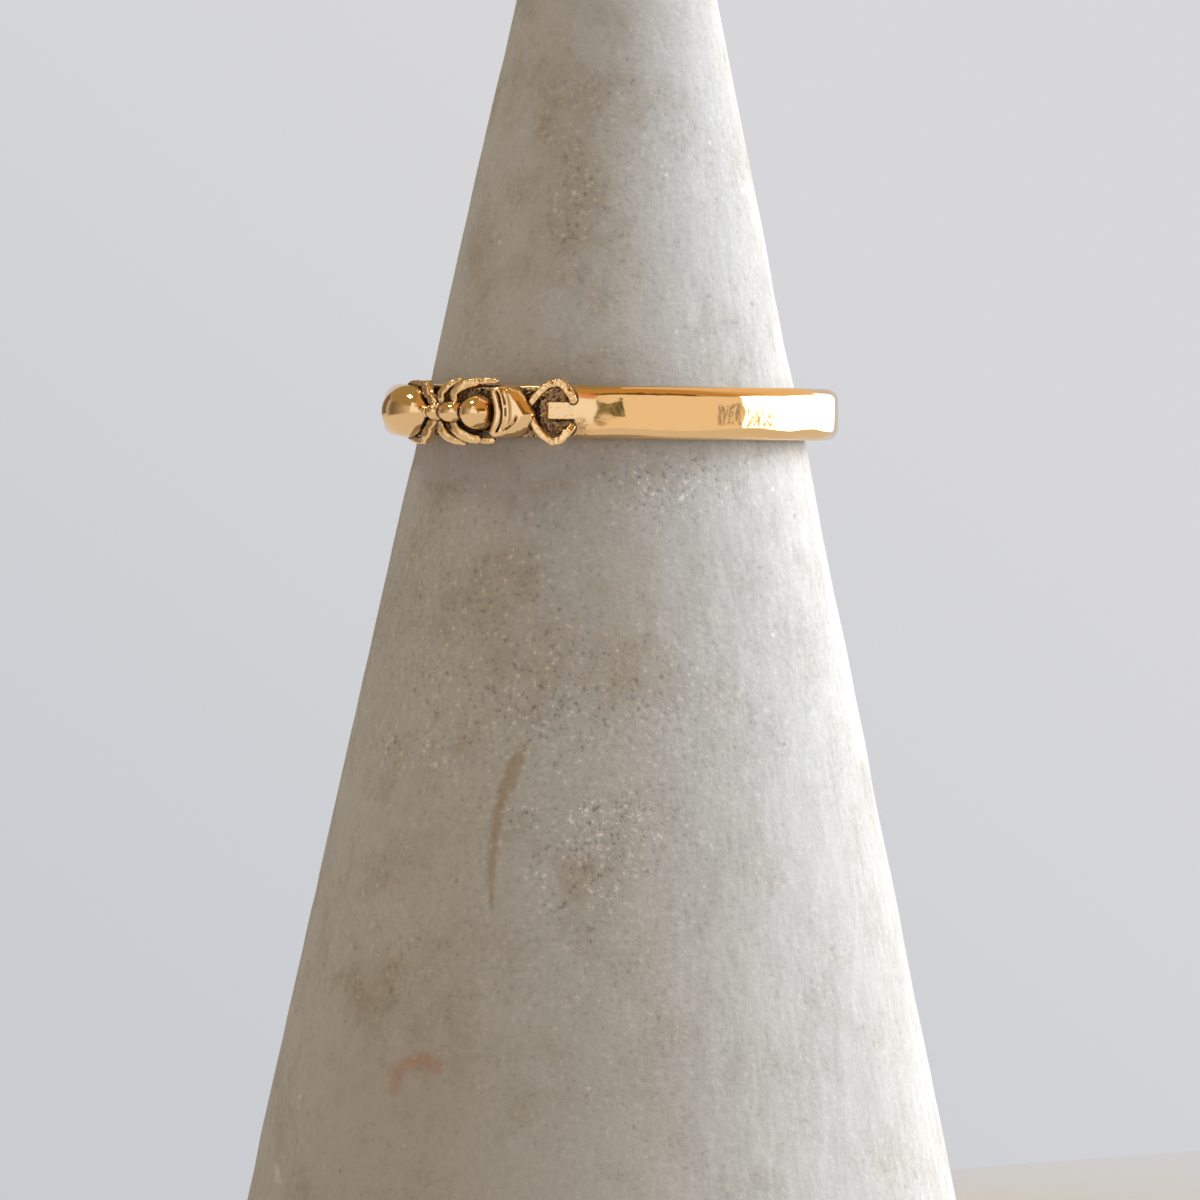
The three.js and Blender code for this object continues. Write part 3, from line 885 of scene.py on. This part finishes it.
# --------------------------------------------------------------------- the cone
def build_cone():
    around = 320
    slope = math.atan(CONE_SLOPE)
    tip_z = CONE_APEX_Z - CONE_TIP_R / math.sin(slope)
    rows = [(0.0, 0.0)]
    for t in (0.25, 0.5, 0.75, 0.9):
        rows.append((t * (CONE_BASE_R - CONE_FOOT_CHAMFER * (1 + CONE_SLOPE)), 0.0))
    foot_r = CONE_BASE_R - CONE_FOOT_CHAMFER * (1 + CONE_SLOPE)
    side_r = (CONE_APEX_Z - CONE_FOOT_CHAMFER) * CONE_SLOPE
    for a in np.linspace(0, 1, 7):
        ang = -math.pi / 2 + a * (math.pi / 2)
        rows.append((
            foot_r + (side_r - foot_r) * math.cos(ang),
            CONE_FOOT_CHAMFER * (1 + math.sin(ang)),
        ))
    joint_r = CONE_TIP_R * math.cos(slope)
    joint_z = tip_z + CONE_TIP_R * math.sin(slope)
    n = 262
    for t in np.linspace(0, 1, n + 1)[1:]:
        rows.append((side_r + (joint_r - side_r) * t, CONE_FOOT_CHAMFER + (joint_z - CONE_FOOT_CHAMFER) * t))
    for a in np.linspace(slope, math.pi / 2, 9)[1:-1]:
        rows.append((CONE_TIP_R * math.cos(a), tip_z + CONE_TIP_R * math.sin(a)))
    rows.append((0.0, tip_z + CONE_TIP_R))
    rows = np.array(rows)
    th = np.linspace(0, 2 * math.pi, around, endpoint=False)
    ring_rows = rows[1:-1]
    r = ring_rows[:, 0][:, None]
    z = ring_rows[:, 1][:, None]
    x = r * np.sin(th)[None, :]
    y = -r * np.cos(th)[None, :]
    zz = np.broadcast_to(z, x.shape)
    grid = np.stack([x, y, zz], axis=2).reshape(-1, 3)
    normal = np.stack([x, y, np.zeros_like(x)], axis=2).reshape(-1, 3)
    normal /= np.maximum(np.linalg.norm(normal, axis=1), 1e-9)[:, None]
    swell = Waves(21, 9.0, 22)
    lump = Waves(22, 2.2, 26)
    side = smoothstep(0.3, 1.5, grid[:, 2])
    # inwards only, so that nothing reaches past the CAD cone or touches the ring
    dent = 0.030 * np.minimum(swell(grid), 0) + 0.012 * np.minimum(lump(grid), 0)
    grid += normal * (dent * side)[:, None]
    verts = np.vstack([[[0, 0, 0]], grid, [[0, 0, rows[-1][1]]]])
    m = len(ring_rows)
    idx = 1 + np.arange(m * around).reshape(m, around)
    nxt = np.roll(idx, -1, axis=1)
    quads = np.stack([idx[:-1], nxt[:-1], nxt[1:], idx[1:]], axis=2).reshape(-1, 4)
    mesh = bpy.data.meshes.new("cone")
    faces = quads.tolist()
    top = len(verts) - 1
    for k in range(around):
        faces.append([0, int(nxt[0, k]), int(idx[0, k])])
        faces.append([int(idx[-1, k]), int(nxt[-1, k]), top])
    mesh.from_pydata((verts * MM).tolist(), [], faces)
    mesh.update()
    mesh.polygons.foreach_set("use_smooth", np.ones(len(mesh.polygons), bool))
    obj = bpy.data.objects.new("cone_cement", mesh)
    bpy.context.scene.collection.objects.link(obj)
    across = verts[:, 0] / np.maximum(CONE_BASE_R - CONE_SLOPE * verts[:, 2], 0.5)
    facing = smoothstep(0.5, -1.0, verts[:, 1])
    # painted shade: the front's left side, away from the window, is painted warmer and darker
    painted_left_shade = smoothstep(-0.20, -0.55, across) * (1 - 0.6 * smoothstep(-0.86, -0.98, across))
    # painted light: the front's right-hand side, where the window's light falls, is painted brighter and cooler than
    # the left
    painted_right_light = smoothstep(0.0, 0.40, across) * (1 - 0.85 * smoothstep(0.74, 0.95, across))
    # real brown mottling, with some painted shade added on the front's left side
    point_values(obj, "stain_and_shade", patches(verts, MOTTLES, 41) + 0.10 * painted_left_shade * facing)
    point_values(obj, "painted_left_shade", painted_left_shade * facing)
    point_values(obj, "painted_right_light", painted_right_light * facing)
    point_values(obj, "pitted", patches(verts, PITTED, 45))
    return obj


cone = build_cone()
cone.data.materials.append(cement)
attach(cone, "root")
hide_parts("ring_cone")

# -------------------------------------------------------------- camera and stage
CAM_DIST = 0.250
CAM_Z = 0.0505
AIM_Z = 0.0423
ROLL = math.radians(0.68)
FRAME_W = 1200 / 22.8 * MM

cam_data = bpy.data.cameras.new("camera")
cam_data.sensor_width = 36.0
cam_data.lens = 36.0 * CAM_DIST / FRAME_W
cam_data.clip_start = 0.01
cam = bpy.data.objects.new("camera", cam_data)
bpy.context.scene.collection.objects.link(cam)
cam.location = (-0.0004, -CAM_DIST, CAM_Z)
look = Vector((-0.0004, 0.0, AIM_Z)) - Vector(cam.location)
cam.rotation_euler = (look.to_track_quat("-Z", "Y").to_matrix() @ Matrix.Rotation(ROLL, 3, "Z")).to_euler()
bpy.context.scene.camera = cam


def floor_material():
    """Pale, and fading into the wall's colour a hand's width from the object."""
    m = Nodes("pale_floor")
    p = m.coord()
    m.bsdf.inputs["Base Color"].default_value = (0.47, 0.405, 0.33, 1)
    m.bsdf.inputs["Roughness"].default_value = 0.85
    n = m.new("ShaderNodeVectorMath", operation="LENGTH")
    m.link(p, n.inputs[0])
    far = m.ramp(n.outputs["Value"], 0.06, 0.19)
    glow = m.new("ShaderNodeEmission")
    glow.inputs["Color"].default_value = rgb(208, 210, 215)
    both = m.new("ShaderNodeMixShader")
    m.put(both.inputs[0], far)
    m.link(m.bsdf.outputs[0], both.inputs[1])
    m.link(glow.outputs[0], both.inputs[2])
    m.link(both.outputs[0], m.out.inputs["Surface"])
    return m.mat


def build_floor():
    """A pale table top whose far edge runs across behind the object."""
    turn = math.radians(33.0)
    along = np.array([math.cos(turn), math.sin(turn)])
    away = np.array([-math.sin(turn), math.cos(turn)])
    edge = np.array([0.0229, 0.132])
    drop = [(-2.2, 0.0), (-0.0010, 0.0)]
    for a in np.linspace(0, math.pi / 2, 7)[1:]:
        drop.append((-0.0010 + 0.0010 * math.sin(a), -0.0010 * (1 - math.cos(a))))
    drop.append((0.0, -0.012))
    verts, faces = [], []
    for off, z in drop:
        for t in (-1.6, 1.6):
            q = edge + along * t + away * off
            verts.append((q[0], q[1], z))
    for i in range(len(drop) - 1):
        faces.append((2 * i, 2 * i + 1, 2 * i + 3, 2 * i + 2))
    mesh = bpy.data.meshes.new("floor")
    mesh.from_pydata(verts, [], faces)
    obj = bpy.data.objects.new("floor", mesh)
    bpy.context.scene.collection.objects.link(obj)
    mesh.materials.append(floor_material())
    obj.visible_glossy = False  # the polished metal reflects the room alone
    return obj


build_floor()


def area(name, size, location, target, power, colour=(1, 1, 1)):
    data = bpy.data.lights.new(name, "AREA")
    data.shape = "RECTANGLE"
    data.size, data.size_y = size
    data.energy = power
    data.color = colour
    obj = bpy.data.objects.new(name, data)
    bpy.context.scene.collection.objects.link(obj)
    obj.location = location
    obj.rotation_euler = (Vector(target) - Vector(location)).to_track_quat("-Z", "Y").to_euler()
    return obj


TARGET = (0, 0, 0.045)
window = area("window", (0.52, 0.94), (0.798, 0.244, 0.382), TARGET, 9.6, (0.93, 1.00, 1.10))
window.visible_camera = False
window.visible_glossy = False  # the metal reflects the window drawn in the world


def build_world():
    """A soft room: a pale band round the horizon, a dim ceiling, a few panels."""
    world = bpy.data.worlds.new("room")
    bpy.context.scene.world = world
    world.use_nodes = True
    m = Nodes.__new__(Nodes)
    m.tree = world.node_tree
    m.tree.nodes.clear()
    out = m.new("ShaderNodeOutputWorld")
    back = m.new("ShaderNodeBackground")
    m.link(back.outputs[0], out.inputs["Surface"])
    d = m.new("ShaderNodeTexCoord").outputs["Generated"]
    xyz = m.new("ShaderNodeSeparateXYZ")
    m.link(d, xyz.inputs[0])
    deg = 180 / math.pi
    az = m.math("MULTIPLY", m.math("ARCTAN2", xyz.outputs[0], m.math("MULTIPLY", xyz.outputs[1], -1.0)), deg)
    el = m.math("MULTIPLY", m.math("ARCSINE", xyz.outputs[2]), deg)

    def span(v, lo, hi, soft):
        up = m.ramp(v, lo - soft, lo + soft)
        down = m.ramp(v, hi - soft, hi + soft, 1.0, 0.0)
        return m.math("MULTIPLY", up, down)

    def panel(a0, a1, e0, e1, soft=0.5):
        return m.math("MULTIPLY", span(az, a0, a1, soft), span(el, e0, e1, soft))

    flow = m.new("ShaderNodeCombineXYZ")
    m.link(m.math("MULTIPLY", az, 0.55), flow.inputs[0])
    m.link(m.math("MULTIPLY", el, 0.20), flow.inputs[1])
    ripple = m.noise(flow.outputs[0], 1.0, 3, 0.6, 1.2)

    # round the horizon: dim on the left, warm and pale in front, pale behind
    colour = m.mix(m.ramp(az, -120.0, -20.0), (0.170, 0.128, 0.093, 1), (0.88, 0.80, 0.69, 1))
    back_wall = m.ramp(m.math("ABSOLUTE", az), 108.0, 135.0)
    colour = m.mix(back_wall, colour, (0.62, 0.615, 0.63, 1))
    # overhead it is dim and amber, with a dark wavy line under that
    wavy = m.math("MULTIPLY_ADD", m.math("SUBTRACT", ripple, 0.5), 9.0, el)
    high = m.ramp(wavy, 16.0, 27.0)
    colour = m.mix(high, colour, (0.35, 0.28, 0.135, 1))
    low = m.ramp(el, -12.0, -6.5, 1.0, 0.0)
    colour = m.mix(low, colour, (0.70, 0.67, 0.63, 1))
    # a pale sheet on the left of the camera, and the dark shape of whoever stands there
    colour = m.mix(panel(-50.0, -8.0, -4.4, 40.0, 0.4), colour, (0.98, 1.03, 1.16, 1))
    shape = m.mix(m.ramp(ripple, 0.38, 0.60), (0.10, 0.095, 0.06, 1), (0.36, 0.31, 0.19, 1))
    colour = m.mix(panel(-8.2, 4.4, -3.6, 5.4, 0.35), colour, shape)
    colour = m.mix(panel(-15.5, -7.5, 6.2, 26.0, 0.7), colour, (0.72, 0.36, 0.19, 1))
    colour = m.mix(panel(-156.0, -130.0, -4.0, 22.0, 1.5), colour, (0.20, 0.16, 0.11, 1))
    # the window's near part, with something rippled before its sill
    colour = m.mix(panel(122.0, 156.0, -6.0, 50.0, 1.0), colour, (2.9, 3.1, 3.3, 1))
    colour = m.mix(panel(70.5, 93.0, -6.0, 50.0, 0.6), colour, (6.2, 6.6, 7.0, 1))
    # in the metal the window ends lower, under a lit amber ceiling
    glossy = m.new("ShaderNodeLightPath").outputs["Is Glossy Ray"]
    middle = m.math("MULTIPLY", panel(90.0, 124.0, -6.0, 50.0, 1.0), glossy)
    colour = m.mix(middle, colour, (6.0, 6.4, 6.8, 1))
    ceiling = m.mix(m.ramp(az, 60.0, 112.0), (0.535, 0.317, 0.105, 1), (0.86, 0.66, 0.44, 1))
    over = m.math("MULTIPLY", m.ramp(az, -46.0, -12.0), m.ramp(wavy, 17.0, 23.0))
    colour = m.mix(m.math("MULTIPLY", over, glossy), colour, ceiling)
    slow = m.new("ShaderNodeCombineXYZ")
    m.link(m.math("MULTIPLY", az, 0.11), slow.inputs[0])
    sway = m.math("SUBTRACT", m.noise(slow.outputs[0], 1.0, 2, 0.6), 0.5)
    under = m.ramp(m.math("MULTIPLY_ADD", sway, 5.0, el), 8.5, 10.5)
    upper = m.ramp(m.math("MULTIPLY_ADD", sway, -70.0, el), 24.0, 32.0, 1.0, 0.0)
    line = m.math("MULTIPLY", span(az, -10.0, 46.0, 5.0), m.math("MULTIPLY", under, upper))
    colour = m.mix(line, colour, (0.17, 0.10, 0.03, 1))
    sill = m.math("MULTIPLY", panel(71.0, 93.0, -5.0, 1.8, 0.5), m.ramp(ripple, 0.43, 0.52))
    colour = m.mix(sill, colour, (1.05, 0.86, 0.72, 1))
    swirl = m.math("MULTIPLY", panel(54.5, 69.0, -3.8, 3.4, 1.0), m.ramp(ripple, 0.42, 0.56))
    colour = m.mix(swirl, colour, (0.42, 0.36, 0.30, 1))
    # a small bright lamp high on the left
    colour = m.mix(panel(-97.0, -69.0, 54.0, 65.0, 1.0), colour, (11.0, 10.0, 8.0, 1))
    # what the camera itself sees past the floor is a plain pale wall
    seen = m.new("ShaderNodeLightPath").outputs["Is Camera Ray"]
    lean = m.math("MULTIPLY_ADD", xyz.outputs[0], 45.0, el)
    wall = m.mix(m.ramp(lean, -12.0, 4.0), rgb(202, 204, 210), rgb(215, 215, 217))
    m.put(back.inputs["Color"], m.mix(seen, colour, wall))
    back.inputs["Strength"].default_value = 1.0


build_world()

light = bpy.context.scene.cycles
light.max_bounces = 4
light.diffuse_bounces = 1
light.glossy_bounces = 3

view = bpy.context.scene.view_settings
view.view_transform = "Standard"
